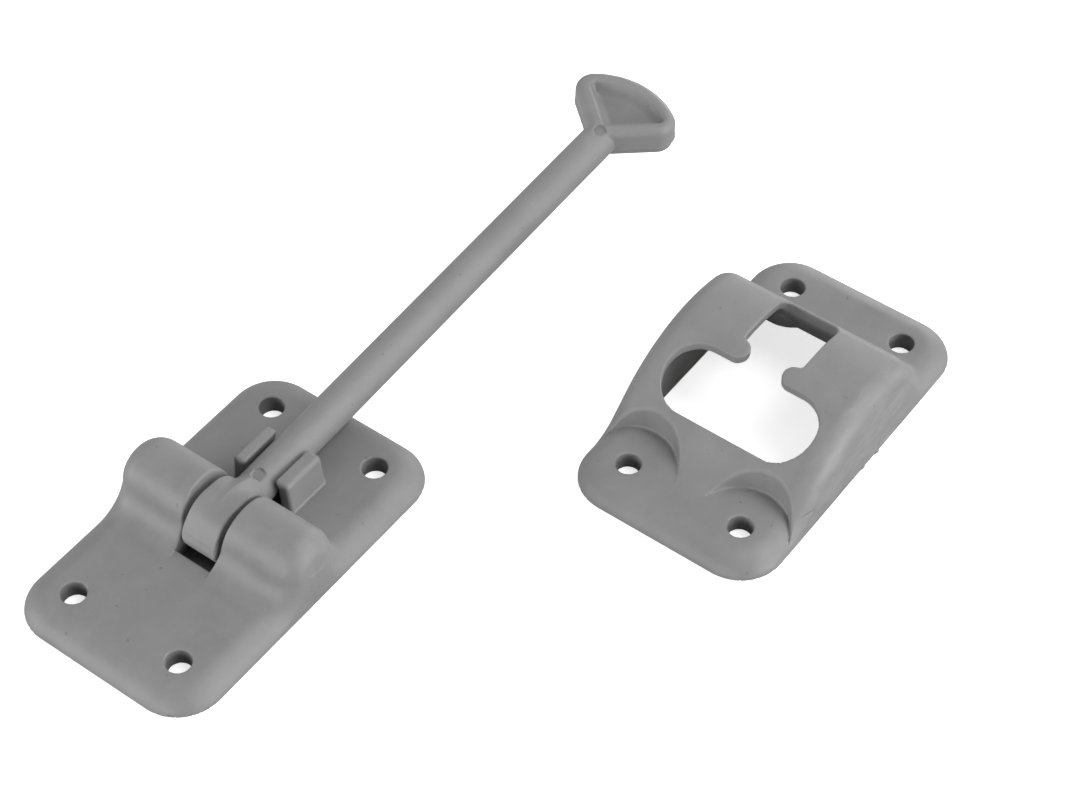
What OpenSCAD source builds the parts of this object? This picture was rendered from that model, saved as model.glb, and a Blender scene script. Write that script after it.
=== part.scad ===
/* [Base plate] */
// Length of the base plate, along the arm
base_l = 79.6; // [78:0.1:92]
// Width of both plates
plate_w = 47.6; // [46:0.1:58]
// Height of the flat parts of both plates
plate_t = 4.35; // [3.9:0.05:5]
// Corner radius of both plates, seen from above
corner_r = 9.9; // [7:0.1:11]
// Radius of the soft top edge that runs round both plates
edge_r = 6.4; // [4.5:0.1:7]
// Radius of the base hump's shoulders, where its top meets its sides
shoulder_r = 4.8; // [2.5:0.1:6]
// Radius of the keeper ramp's shoulders
keeper_shoulder_r = 4.6; // [2.5:0.1:5]
// Wall of the hollow mouldings
wall = 2.2; // [1.8:0.1:2.4]
// Lean of the base hump's sides, in millimetres for each millimetre of height
side_draft = 0.03; // [0:0.005:0.12]
// Lean of the keeper ramp's sides, in millimetres for each millimetre of height
keeper_draft = 0.005; // [0:0.005:0.12]

/* [Screw holes] */
// Diameter of the screw holes
hole_d = 5.4; // [4:0.1:6]
// Spacing of the base holes along the arm
base_hole_x = 59.4; // [57:0.1:64]
// Spacing of the keeper holes along the arm
keeper_hole_x = 61.2; // [60:0.1:66]
// Spacing of the holes across both plates
hole_y = 27.3; // [26:0.1:30]
// Diameter of the boss round each hole, inside the hollow
boss_d = 11; // [9:0.1:12]

/* [Hinge] */
// Place of the hinge pin along the base
pin_x = -1; // [-2:0.1:1]
// Height of the hinge pin over the mounting face
pin_z = 7.65; // [7.6:0.05:8]
// Diameter of the hinge pin
pin_d = 4; // [3:0.1:4.4]
// Length of the hinge pin
pin_l = 17.6; // [15:0.1:22]
// Running clearance of the arm's bore on the pin, on the radius
pin_gap = 0.05; // [0.02:0.01:0.08]
// Height of the centre of the hump's round crown
crown_z = 8.26; // [8:0.02:8.8]
// Offset of the crown's centre behind the pin
crown_dx = 1.3; // [0.5:0.1:2]
// Radius of the hump's round crown
crown_r = 7.33; // [7.1:0.01:7.8]
// Radius of the hollow sweep in front of the hump
sweep_r = 6.2; // [5.8:0.1:7.5]
// Radius at the foot of the hump's back
heel_sweep_r = 2.5; // [2:0.1:4]

/* [Slot] */
// Half width of the slot at and under the plate's top
slot_half = 4.52; // [4.45:0.01:4.9]
// Front end of the slot, from the pin
slot_front = 9.05; // [8.6:0.05:10]
// Back end of the slot, from the pin
slot_back = 15.05; // [14:0.05:16]
// Lean of the slot's sides inside the hump
slot_draft = 0.11; // [0.05:0.01:0.14]

/* [Clip tabs] */
// Front end of the tabs, from the pin
tab_start = 11.9; // [11.6:0.1:14]
// Length of the tabs
tab_l = 10.3; // [8:0.1:14]
// Height of the tabs' tops over the mounting face
tab_z = 11.7; // [10.5:0.1:13]
// Gap between the arm and the lips of the tabs
lip_gap = 0.12; // [0.08:0.01:0.3]
// Thickness of the tabs at the top
tab_t = 2.2; // [1.8:0.1:2.8]

/* [Arm] */
// Length of the arm from the hinge pin to the far edge of its head
arm_l = 144.5; // [100:0.5:160]
// Diameter of the arm's rod
rod_d = 7.94; // [7.4:0.02:8.1]
// Rise of the arm off the plate as it lies in the tabs, in degrees
arm_rise = 3; // [2.9:0.1:4]
// Radius of the barrel round the pin
barrel_r = 6.5; // [6:0.1:6.6]
// Half width of the barrel
barrel_half = 4.2; // [4:0.05:4.25]
// Reach of the heel from the pin
heel_reach = 7.35; // [7.1:0.05:7.5]
// Radius of the heel's round end
heel_r = 3.5; // [3:0.1:4]

/* [Arm head] */
// Radius of the head's far edge
head_arc_r = 18.5; // [15:0.5:24]
// Radius of the head's two corners
head_corner_r = 4.3; // [3:0.1:4.6]
// Half the distance between the centres of those corners
head_corner_y = 8.4; // [7:0.1:11]
// Angle of the head's straight sides to the rod
head_side_a = 50; // [44:1:56]
// Thickness of the head
head_t = 8.2; // [6:0.1:8.6]
// Radius of the head's soft rim
rim_r = 1.9; // [1.6:0.1:2.8]
// Width of the rim round the head's pockets
rim_w = 3; // [2.4:0.1:3.4]
// Web left between the two pockets
web_t = 3.4; // [2:0.1:4]

/* [Keeper plate] */
// Length of the keeper plate
keeper_l = 82; // [81:0.1:90]
// Place of the keeper along the arm, as the set is laid out
keeper_x = 91.9; // [90:0.1:120]
// Place of the keeper across the arm, as the set is laid out
keeper_y = -68; // [-90:0.1:-64]
// Height of the keeper's crest
crest_z = 19.3; // [18:0.1:21]
// Place of the crest, from the middle of the holes
crest_x = 4.5; // [3:0.1:6]
// Radius of the long upper face
face_r = 37.2; // [36:0.1:42]
// Slope of the front ramp, in degrees
ramp_a = 40.2; // [36:0.1:42]
// Radius of the hollow sweep at the ramp's foot
ramp_sweep_r = 8; // [6:0.1:9]
// Place on the arc where the back edge starts to round over, in degrees
brow_a = 15; // [12:1:17]
// Radius of that back edge
brow_r = 5; // [3:0.1:6]
// Slope of the back, in degrees
back_a = 54; // [52:1:60]
// Radius at the foot of the back
back_sweep_r = 3; // [2.6:0.1:4]
// Radius of the seats cut round the front screw holes
seat_r = 10; // [9:0.1:10.8]
// Lean of the seats' walls, in millimetres for each millimetre of height
seat_draft = 0.1; // [0:0.01:0.15]

/* [Keeper window] */
// Radius of the two round ends of the wide mouth
mouth_r = 7; // [6.4:0.05:7.2]
// Place of the mouth's centre line, from the middle of the holes
mouth_x = -11.45; // [-13:0.05:-11]
// Half the distance between the centres of the round ends
mouth_y = 10.55; // [10:0.05:12]
// Half width of the narrow slot
neck_half = 7; // [6.4:0.1:7.6]
// Back end of the narrow slot
neck_back = 15.7; // [13:0.1:16]
// Corner radius at the slot's back end
neck_r = 2.6; // [1:0.1:4]
// Radius of the horns that narrow the slot's mouth
horn_r = 2.4; // [2:0.1:3.2]
// Half the gap between the horns
horn_half = 4.2; // [3.9:0.05:4.6]
// Offset of the whole window across the keeper
window_y = 0.1; // [-0.5:0.05:0.5]
// Back end of the open space under the slot, from the middle of the holes
cavity_back = 24.6; // [22:0.1:26]
// Height of the low wall round that space
rib_z = 3.5; // [2.4:0.1:3.8]

/* [Hidden] */
$fn = 64;
eps = 0.01;
over = 1;
colour = [0.46, 0.46, 0.46];
// Steps on the corners, on the soft edge and on the profile's arcs
corner_steps = 7;
edge_steps = 5;
inner_edge_steps = 3;
crown_x = pin_x + crown_dx;
// Directions of the heel's two round ends at rest: forward, and forward and down
heel_a = [183, 207];
// The stop rib meets the heel as the arm stands upright
stop_r = heel_reach - 0.3;
stop_a = 311;
// Points round the barrel, and how far its round top is carried back over the rod
barrel_steps = 72;
saddle_l = 2.3;
// Lean of the hump's upright back, in degrees
back_lean = 2;
soft = 0.6;
stop_t = 2;
pin_throat = 0.8;
bearing_t = 1.2;
lip_drop = 2;
tab_root = 1.5;
// Height over which the low edge of the flat turns into the hump's shoulder
blend_z = 11;
// Upright land under the soft edge, and the round of the hollow's own edge
edge_land = 0.4;
inner_r = 1.5;
// Fillet behind the window's horns
horn_root_r = 1.2;
rib_t = 2;
cavity_front = 22.5;
cavity_half = 13.4;
cavity_r = 4;
// Thickness of the keeper's sides, and the bosses of its back screws
side_wall = 4;
back_boss_d = 16.2;
// Webs that close the slot's underside in front of the barrel and behind it
web_z = 1.4;
front_web = 4.8;
// Ejector marks on the rod, from the pin
mark_r = 1.38;
mark_z = 3.76;
mark_y = -0.5;
marks = [11.1, 126.9];

// Points of an arc from angle a0 to angle a1, as [x, z]
function arc(c, r, a0, a1, n) =
    [for (i = [0 : n]) let (a = a0 + (a1 - a0) * i / n) [c[0] + r * cos(a), c[1] + r * sin(a)]];

// Profile of the base's top along the arm, moved inwards by o
function base_profile(o) =
    let (
        c = [crown_x, crown_z],
        fz = plate_t + sweep_r,
        f = [crown_x - sqrt(pow(crown_r + sweep_r, 2) - pow(crown_z - fz, 2)), fz],
        bz = plate_t + heel_sweep_r,
        reach = crown_r + heel_sweep_r,
        drop = (crown_z + reach * sin(back_lean) - bz) / cos(back_lean),
        b = [crown_x + reach * cos(back_lean) + drop * sin(back_lean), bz],
        af = atan2(c[1] - f[1], c[0] - f[0])
    )
    concat(
        arc(f, sweep_r + o, -90, af, 7),
        arc(c, crown_r - o, 180 + af - 8, back_lean, 15),
        arc(b, heel_sweep_r + o, 180 + back_lean, 270, 5)
    );

// Profile of the keeper's top along the arm, moved inwards by o
function keeper_profile(o) =
    let (
        c = [crest_x, crest_z - face_r],
        s = c + face_r * [-sin(ramp_a), cos(ramp_a)],
        foot_x = s[0] - (s[1] - plate_t) / tan(ramp_a),
        f = [foot_x - ramp_sweep_r * tan(ramp_a / 2), plate_t + ramp_sweep_r],
        w = c + (face_r - brow_r) * [sin(brow_a), cos(brow_a)],
        e = w + brow_r * [sin(back_a), cos(back_a)],
        back_x = e[0] + (e[1] - plate_t) / tan(back_a),
        b = [back_x + back_sweep_r * tan(back_a / 2), plate_t + back_sweep_r]
    )
    concat(
        arc(f, ramp_sweep_r + o, -90, -90 + ramp_a, 5),
        arc(c, face_r - o, 90 + ramp_a, 90 - brow_a, 12),
        arc(w, max(brow_r - o, 0.6), 90 - brow_a - 8, 90 - back_a, 4),
        arc(b, back_sweep_r + o, 270 - back_a, 270, 3)
    );

// Share of the hump's shape at height z of the top, from 0 on the flat to 1 on the hump
function hump_share(z, flat) = let (k = min(1, max(0, (z - flat) / blend_z))) k * k * (3 - 2 * k);

// Soft edge at step t from 0 to 1, as [inset, drop]: low and long on the flat, rounder on the hump.
// s holds the hump's shoulder radius and the lean of its sides
function soft_edge(t, k, s) =
    let (
        a0 = asin((edge_r - plate_t + edge_land) / edge_r),
        a = a0 + (90 - a0) * t,
        flat = edge_r * [cos(a0) - cos(a), 1 - sin(a)],
        hump = s[0] * [1 - cos(90 * t), 1 - sin(90 * t)]
    )
    (1 - k) * flat + k * hump;

// Half ring of a plate at step t of its soft edge; o moves it inwards
function half_ring(l, profile, t, o, s) =
    let (
        a = l / 2 - corner_r,
        b = plate_w / 2 - corner_r,
        r = corner_r - o,
        flat = plate_t - o,
        inner = inner_r * [1 - cos(90 * t), 1 - sin(90 * t)],
        e = o > 0 ? inner : soft_edge(t, 0, s)
    )
    concat(
        [for (i = [0 : corner_steps]) let (c = 180 + 90 * i / corner_steps)
            [-a + (r - e[0]) * cos(c), -b + (r - e[0]) * sin(c), flat - e[1]]],
        [for (p = profile)
            let (
                k = hump_share(p[1], flat),
                h = o > 0 ? inner : soft_edge(t, k, s),
                z = p[1] - h[1]
            )
            [p[0], -(b + r - h[0] - k * s[1] * z), z]],
        [for (i = [0 : corner_steps]) let (c = 270 + 90 * i / corner_steps)
            [a + (r - e[0]) * cos(c), -b + (r - e[0]) * sin(c), flat - e[1]]]
    );

// Half ring at the foot of a plate
function foot_ring(l, profile, o, low) =
    let (a = l / 2 - corner_r, b = plate_w / 2 - corner_r, r = corner_r - o)
    concat(
        [for (i = [0 : corner_steps]) let (c = 180 + 90 * i / corner_steps)
            [-a + r * cos(c), -b + r * sin(c), low]],
        [for (p = profile) [p[0], -(b + r), low]],
        [for (i = [0 : corner_steps]) let (c = 270 + 90 * i / corner_steps)
            [a + r * cos(c), -b + r * sin(c), low]]
    );

// Full ring of a symmetric skin from its half
function full_ring(h) = concat(h, [for (i = [len(h) - 1 : -1 : 0]) [h[i][0], -h[i][1], h[i][2]]]);

// Closed skin through a stack of symmetric rings, lowest first
module skin(rings) {
    n = len(rings[0]);
    m = len(rings);
    polyhedron(
        points = [for (r = rings) each r],
        faces = concat(
            [for (k = [0 : m - 2], i = [0 : n - 1]) let (j = (i + 1) % n)
                each [[k * n + i, (k + 1) * n + i, k * n + j], [k * n + j, (k + 1) * n + i, (k + 1) * n + j]]],
            [for (i = [0 : n / 2 - 2]) let (t = (m - 1) * n)
                [t + i, t + n - 1 - i, t + n - 2 - i, t + i + 1]],
            [for (i = [0 : n / 2 - 2])
                [i, i + 1, n - 2 - i, n - 1 - i]]
        )
    );
}

// Body of a plate with its hump and soft edge; o moves every face inwards
module plate_body(l, profile, o, low, steps, s) {
    skin(concat(
        [full_ring(foot_ring(l, profile, o, low))],
        [for (k = [0 : steps]) full_ring(half_ring(l, profile, k / steps, o, s))]
    ));
}

// Four screw places of a pattern
module four(sx, sy) {
    for (x = [-sx / 2, sx / 2], y = [-sy / 2, sy / 2]) translate([x, y, 0]) children();
}

// Slot through the hump: straight under the plate's top, leaning outwards above it
module slot_cut(grow, back, front, low) {
    top = crown_z + crown_r + over;
    h0 = slot_half + grow;
    h1 = h0 + slot_draft * (top - plate_t);
    translate([pin_x - front, 0, 0]) rotate([90, 0, 90]) linear_extrude(front + back)
        polygon([[-h0, low], [h0, low], [h0, plate_t], [h1, top], [-h1, top], [-h0, plate_t]]);
}

// Notch for the pin, open to the mounting face, with a throat the pin snaps past
module pin_notch() {
    w = pin_d + 2 * pin_gap;
    translate([pin_x, pin_l / 2 + pin_gap, 0]) rotate([90, 0, 0]) linear_extrude(pin_l + 2 * pin_gap) {
        translate([0, pin_z]) circle(d = w);
        translate([-w / 2 + pin_throat / 2, -over]) square([w - pin_throat, pin_z + over]);
    }
}

// One clip tab, on the left of the rod
module clip_tab() {
    lip = rod_d / 2 + lip_gap;
    inner = max(slot_half, lip + 0.3);
    outer = lip + tab_t;
    round_r = tab_t / 2;
    translate([pin_x + tab_start, 0, 0]) rotate([90, 0, 90]) linear_extrude(tab_l) polygon(concat(
        [[inner, plate_t - over], [inner, tab_z - lip_drop], [lip, tab_z - lip_drop + 0.7]],
        arc([lip + 0.5, tab_z - 0.5], 0.5, 180, 90, 3),
        arc([outer - round_r, tab_z - round_r], round_r, 90, 15, 5),
        [[outer + tab_root, plate_t + 0.4], [outer + tab_root + 0.5, plate_t - over]]
    ));
}

// Base plate: hollow moulding with a hump that carries the pin
module base_plate() {
    top_profile = base_profile(0);
    hollow_profile = base_profile(wall);
    sides = [shoulder_r, side_draft];
    stop_x = pin_x + stop_r * cos(stop_a);
    stop_z = pin_z + stop_r * sin(stop_a);
    color(colour) {
        difference() {
            plate_body(base_l, top_profile, 0, 0, edge_steps, sides);
            difference() {
                plate_body(base_l, hollow_profile, wall, -over, inner_edge_steps, sides);
                translate([0, 0, -over]) four(base_hole_x, hole_y) cylinder(d = boss_d, h = plate_t);
                slot_cut(wall, slot_back + wall, slot_front + wall, -2 * over);
                translate([pin_x - pin_d, -pin_l / 2 - bearing_t, -2 * over])
                    cube([2 * pin_d, pin_l + 2 * bearing_t, crown_z + crown_r]);
            }
            slot_cut(0, slot_back, slot_front, -over);
            slot_cut(0, base_l / 2, slot_front + 5, plate_t);
            pin_notch();
            translate([0, 0, -over]) four(base_hole_x, hole_y) cylinder(d = hole_d, h = plate_t + 2 * over);
        }
        translate([stop_x, -slot_half - eps, 0]) cube([stop_t, 2 * (slot_half + eps), stop_z]);
        translate([stop_x, -slot_half - eps, 0]) cube([pin_x + slot_back - stop_x + eps, 2 * (slot_half + eps), web_z]);
        translate([pin_x - slot_front - eps, -slot_half - eps, 0]) cube([front_web, 2 * (slot_half + eps), web_z]);
        clip_tab();
        mirror([0, 1, 0]) clip_tab();
    }
}

// Reach of a disc of radius r, centred at distance d in direction a, seen from the pin in direction t
function disc_reach(t, d, a, r) = d * cos(t - a) + sqrt(max(0, r * r - pow(d * sin(t - a), 2)));

// Reach of the barrel, its heel and the saddle that leads back onto the rod, in direction t
function barrel_reach(t) =
    let (
        u = (t - arm_rise + 360) % 360,
        heel = max([for (a = heel_a) cos(t - a) > 0 ? disc_reach(t, heel_reach - heel_r, a, heel_r) : 0]),
        top = u < 90 ? min(disc_reach(u, saddle_l, 0, barrel_r), barrel_r / max(sin(u), 0.1)) : 0
    )
    max(barrel_r, heel, top);

// Barrel as one skin, layer on layer across the arm
module barrel() {
    step = 360 / barrel_steps;
    low = [for (k = [3 : -1 : 0]) [-barrel_half + soft * (1 - sin(30 * k)), soft * (1 - cos(30 * k))]];
    high = [for (k = [0 : 3]) [barrel_half - soft * (1 - sin(30 * k)), soft * (1 - cos(30 * k))]];
    rotate([90, 0, 0]) skin([for (l = concat(low, high))
        [for (i = [0 : barrel_steps - 1]) let (t = step * (i + 0.5), r = barrel_reach(t) - l[1])
            [r * cos(t), r * sin(t), l[0]]]]);
}

// Half outline of the arm's head at inset d, as [along the arm, across]
function head_half(d) =
    let (
        c = arm_l - head_arc_r,
        corner_x = c + sqrt(pow(head_arc_r - head_corner_r, 2) - pow(head_corner_y, 2)),
        r = head_corner_r - d,
        side = 270 - (90 - head_side_a) - 90 + 90,
        tangent = [corner_x, -head_corner_y] + r * [-sin(head_side_a), -cos(head_side_a)],
        back = (-tangent[1] - 1) / sin(head_side_a),
        meet = atan2(-head_corner_y, corner_x - c)
    )
    concat(
        [tangent - back * [cos(head_side_a), -sin(head_side_a)]],
        arc([corner_x, -head_corner_y], r, 270 - head_side_a, 360 + meet, 8),
        arc([c, 0], head_arc_r - d, meet * 0.9, meet * 0.06, 9)
    );

// Ring of the head at inset d and height z over the rod's axis
function head_ring(d, z) = full_ring([for (p = head_half(d)) [p[0], p[1], z]]);

// Fan-shaped head with a soft rim and a pocket in each face
module arm_head() {
    h = head_t / 2;
    difference() {
        skin(concat(
            [for (k = [0 : edge_steps]) let (a = 90 * k / edge_steps)
                head_ring(rim_r * (1 - sin(a)), -h + rim_r * (1 - cos(a)))],
            [for (k = [0 : edge_steps]) let (a = 90 * k / edge_steps)
                head_ring(rim_r * (1 - cos(a)), h - rim_r * (1 - sin(a)))]
        ));
        for (s = [0, 1]) mirror([0, 0, s])
            skin([head_ring(rim_w + 0.5, web_t / 2), head_ring(rim_w, h + eps)]);
    }
}

// Arm: rod, barrel with its heel, and head, one moulding
module hold_arm() {
    rod_end = arm_l - head_arc_r - 0.5;
    color(colour) translate([pin_x, 0, pin_z]) difference() {
        union() {
            rotate([0, -arm_rise, 0]) {
                rotate([0, 90, 0]) cylinder(d = rod_d, h = rod_end);
                translate([rod_end, 0, 0]) rotate([0, 90, 0])
                    cylinder(d1 = rod_d, d2 = rod_d - 2, h = head_corner_r);
                arm_head();
            }
            barrel();
        }
        rotate([90, 0, 0]) translate([0, 0, -barrel_half - over])
            cylinder(d = pin_d + 2 * pin_gap, h = 2 * (barrel_half + over));
        rotate([0, -arm_rise, 0]) for (u = marks) translate([u, mark_y, mark_z]) cylinder(r = mark_r, h = rod_d);
    }
}

// Steel pin that lies in the notches of the base
module hinge_pin() {
    color([0.75, 0.75, 0.77]) translate([pin_x, pin_l / 2, pin_z]) rotate([90, 0, 0])
        cylinder(d = pin_d, h = pin_l);
}

// Half outline of the keeper's window: wide mouth, horn, and narrow slot
function window_half() =
    let (
        horn = [mouth_x + mouth_r + horn_r, horn_half + horn_r],
        dy = horn[1] - neck_half + horn_root_r,
        root = [horn[0] + sqrt(pow(horn_r + horn_root_r, 2) - dy * dy), neck_half - horn_root_r],
        a = atan2(root[1] - horn[1], root[0] - horn[0])
    )
    concat(
        arc([mouth_x, mouth_y], mouth_r, 180, 0, 18),
        arc(horn, horn_r, 180, 360 + a, 14),
        arc(root, horn_root_r, 180 + a, 90, 4),
        arc([neck_back - neck_r, neck_half - neck_r], neck_r, 90, 0, 6)
    );

// Window through the keeper's face
module window_outline() {
    h = window_half();
    polygon(concat(h, [for (i = [len(h) - 1 : -1 : 0]) [h[i][0], -h[i][1]]]));
}

// Rounded rectangle from x0 to x1, symmetric in y
module rounded(x0, x1, half, r) {
    translate([x0, -half + r]) square([x1 - x0, 2 * (half - r)]);
    translate([x0 + r, -half]) square([x1 - x0 - 2 * r, 2 * half]);
    for (x = [x0 + r, x1 - r], y = [-half + r, half - r]) translate([x, y]) circle(r);
}

// Low wall round the back of the space under the keeper's window
module cavity_wall() {
    linear_extrude(rib_z) difference() {
        translate([cavity_front, -plate_w / 2]) square([cavity_back + rib_t - cavity_front, plate_w]);
        rounded(cavity_front - 2 * cavity_r, cavity_back, cavity_half, cavity_r);
    }
}

// Keeper plate: hollow ramp with the window that the arm's head drops into
module keeper_plate() {
    top_profile = keeper_profile(0);
    hollow_profile = keeper_profile(wall);
    sides = [keeper_shoulder_r, keeper_draft];
    high = crest_z + over;
    color(colour) translate([keeper_x, keeper_y, 0]) difference() {
        plate_body(keeper_l, top_profile, 0, 0, edge_steps, sides);
        difference() {
            plate_body(keeper_l, hollow_profile, wall, -over, inner_edge_steps, sides);
            translate([0, 0, -over]) four(keeper_hole_x, hole_y) cylinder(d = boss_d, h = plate_t);
            for (s = [-1, 1]) {
                translate([-keeper_hole_x / 2, s * hole_y / 2, plate_t - wall])
                    cylinder(r = seat_r + wall, h = high);
                translate([keeper_hole_x / 2, s * hole_y / 2, -over]) cylinder(d = back_boss_d, h = rib_z + over);
                translate([-keeper_l / 2, s * (plate_w / 2 - side_wall / 2) - side_wall / 2, -over])
                    cube([keeper_l, side_wall, high + over]);
            }
            cavity_wall();
        }
        translate([0, window_y, -over]) linear_extrude(high + over) window_outline();
        for (s = [-1, 1]) translate([-keeper_hole_x / 2, s * hole_y / 2, plate_t])
            cylinder(r1 = seat_r, r2 = seat_r + seat_draft * high, h = high);
        translate([0, 0, -over]) four(keeper_hole_x, hole_y) cylinder(d = hole_d, h = plate_t + 2 * over);
    }
}

base_plate();
hold_arm();
hinge_pin();
keeper_plate();
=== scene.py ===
"""Looks of a moulded door catch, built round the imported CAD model.

Every plastic piece is a signed distance field in millimetres, meshed on a fine grid and pulled onto its
zero surface, so that each edge and corner carries the small round of a moulding.
"""
import math

import bpy
import numpy as np
from mathutils import Matrix, Vector


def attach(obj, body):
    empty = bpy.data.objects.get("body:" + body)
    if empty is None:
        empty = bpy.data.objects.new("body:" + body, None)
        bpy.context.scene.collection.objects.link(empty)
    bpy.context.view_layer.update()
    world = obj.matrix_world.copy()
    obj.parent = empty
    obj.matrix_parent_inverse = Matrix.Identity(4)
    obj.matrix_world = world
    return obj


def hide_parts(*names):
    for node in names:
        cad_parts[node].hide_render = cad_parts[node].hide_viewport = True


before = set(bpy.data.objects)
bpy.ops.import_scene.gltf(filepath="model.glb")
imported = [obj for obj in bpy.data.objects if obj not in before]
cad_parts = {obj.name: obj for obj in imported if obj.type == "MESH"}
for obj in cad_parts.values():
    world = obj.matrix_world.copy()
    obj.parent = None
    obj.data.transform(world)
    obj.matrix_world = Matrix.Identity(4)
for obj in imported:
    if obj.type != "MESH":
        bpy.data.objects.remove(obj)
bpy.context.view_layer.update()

# Sizes in millimetres, the same as in the part's source where a comment doesn't say otherwise

# Outline, thickness and corners of the two plates
BASE_L, PLATE_W, PLATE_T, CORNER_R = 79.6, 47.6, 4.35, 9.9
# Round edge of the flats, wall of the shells, inner round, and height over which the edge turns to a shoulder
EDGE_R, WALL, EDGE_LAND, INNER_R, BLEND_Z = 6.4, 2.2, 0.4, 1.5, 11.0
# Radius of the shoulders and lean of the sides, of the base's hump and of the keeper's ramp
BASE_SIDES, KEEPER_SIDES = (4.8, 0.03), (4.6, 0.005)
# Screw holes: size, taper (scene only), spacing along each plate and across, and the bosses behind them
HOLE_D, HOLE_DRAFT, BASE_HOLE_X, KEEPER_HOLE_X, HOLE_Y, BOSS_D = 5.4, 0.05, 59.4, 61.2, 27.3, 11.0

# Pin and its notch
PIN_X, PIN_Z, PIN_D, PIN_L, PIN_GAP, PIN_THROAT, BEARING_T = -1.0, 7.65, 4.0, 17.6, 0.05, 0.8, 1.2
# Hump: its crown, front sweep, back sweep and lean of the back
CROWN_X, CROWN_Z, CROWN_R = 0.3, 8.26, 7.33
SWEEP_R, HEEL_SWEEP_R, BACK_LEAN = 6.2, 2.5, 2.0
# Slot for the arm, from the pin to the front and to the back
SLOT_HALF, SLOT_FRONT, SLOT_BACK, SLOT_DRAFT = 4.52, 9.05, 15.05, 0.11
# Stop rib, by its top corner's distance and angle from the pin, and the webs that close the slot below.
# Both webs are WEB_Z high in the source; here the front one is lower, so that it reads dark.
STOP_R, STOP_A, STOP_T = 7.05, 311.0, 2.0
WEB_Z, FRONT_WEB, FRONT_WEB_Z = 1.4, 4.8, 0.8
# Clip tabs; the source has 11.9, 10.3, 11.7, 0.12, 2.2 and 1.5, and both tabs alike. Here the right one is
# thicker than the left one by TAB_EXTRA.
TAB_START, TAB_L, TAB_Z, LIP_GAP, TAB_T, TAB_ROOT = 11.6, 10.5, 11.7, 0.08, 2.9, 0.6
TAB_EXTRA = 0.5

# Arm: length from the pin, rod, and its rise off the plate in degrees
ARM_L, ROD_D, ARM_RISE = 144.5, 7.94, 3.0
# Barrel with its heel, and the saddle between barrel and rod
BARREL_R, BARREL_HALF, HEEL_REACH, HEEL_R, SADDLE_L = 6.5, 4.2, 7.35, 3.5, 2.3
# Head: outline, thickness, rim (3.0 wide in the source) and web
HEAD_ARC_R, HEAD_CORNER_R, HEAD_CORNER_Y, HEAD_SIDE_A = 18.5, 4.3, 8.4, 50.0
HEAD_T, RIM_R, RIM_W, WEB_T = 8.2, 1.9, 2.9, 3.4
# Head's pockets: lean of the walls (0.21 in the source), and, scene only, floor round and sideways shift
POCKET_DRAFT, POCKET_R, POCKET_SHIFT = 0.45, 1.6, 0.4
# Scene only: the head's parting line, with its height, the half width and height of its ridge, and its step
PART_H, RIDGE_HALF, RIDGE, STEP_RUN, STEP = -1.4, 0.45, 0.28, 0.3, 0.3
# Round ejector marks on the rod; the source has radius 1.38 and height 3.76
MARK_R, MARK_Z, MARK_Y, MARKS = 1.45, 3.5, -0.5, (11.1, 126.9)
# Scene only: the arm's twist in degrees, where it starts, and how much shorter than the arm its run is
TWIST, TWIST_START, TWIST_REST = 3.0, 12.0, 40.0

# Keeper: length, place beside the base, crest and ramp
KEEPER_L, KEEPER_X, KEEPER_Y = 82.0, 91.9, -68.0
CREST_Z, CREST_X, FACE_R, RAMP_A, RAMP_SWEEP_R = 19.3, 4.5, 37.2, 40.2, 8.0
BROW_A, BROW_R, BACK_A, BACK_SWEEP_R = 15.0, 5.0, 54.0, 3.0
# Seats of the front screws, with the fillet at their foot (scene only)
SEAT_R, SEAT_DRAFT, SEAT_FOOT_R = 10.0, 0.1, 0.4
# Window: mouth, neck and horns
MOUTH_R, MOUTH_X, MOUTH_Y, NECK_HALF, NECK_BACK, NECK_R = 7.0, -11.45, 10.55, 7.0, 15.7, 2.6
HORN_R, HORN_HALF, HORN_ROOT_R, WINDOW_Y = 2.4, 4.2, 1.2, 0.1
# Hollow behind the window, its rib, and the thick sides and bosses
CAVITY_BACK, CAVITY_FRONT, CAVITY_HALF, CAVITY_R, RIB_Z, RIB_T = 24.6, 22.5, 13.4, 4.0, 3.5, 2.0
SIDE_WALL, BACK_BOSS_D = 4.0, 16.2
# Scene only: a nick beside the keeper's right seat and two moulding burrs on its lower right edge
NICK, NICK_R = ((-23.0, -22.9, 5.3), (-19.8, -23.75, 5.5)), 0.4
BURRS, BURR_R = ((-0.5, 0.8), (5.1, 0.5)), 0.4

# Scene only, small rounds: of cut edges, hole rims, the slot, the skin's foot and its side
CUT_R, RIM_EDGE_R, SLOT_EDGE_R, FOOT_R, SIDE_R = 0.45, 0.3, 0.25, 0.25, 0.35
# Scene only: round of the inner corners of the hollow backs
HOLLOW_R = 0.6
# Grid of the plates and of the arm
CELL = 0.4
ARM_CELL = 0.31


def length(a, b):
    """Distance sqrt(a^2 + b^2)."""
    return np.sqrt(a * a + b * b)


def cut_round(a, b, r):
    """Intersection of two solids whose shared edge is rounded to radius r."""
    return np.minimum(-r, np.maximum(a, b)) + length(np.maximum(r + a, 0), np.maximum(r + b, 0))


def join_round(a, b, r):
    """Union of two solids with a fillet of radius r between them."""
    return np.maximum(r, np.minimum(a, b)) - length(np.maximum(r - a, 0), np.maximum(r - b, 0))


def box_2d(x, y, hx, hy, r):
    """Rounded rectangle round the origin."""
    qx = np.abs(x) - hx + r
    qy = np.abs(y) - hy + r
    return length(np.maximum(qx, 0), np.maximum(qy, 0)) + np.minimum(np.maximum(qx, qy), 0) - r


def slab(x, low, high):
    """Signed distance to the slab low < x < high."""
    return np.abs(x - (low + high) / 2) - (high - low) / 2


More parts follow.
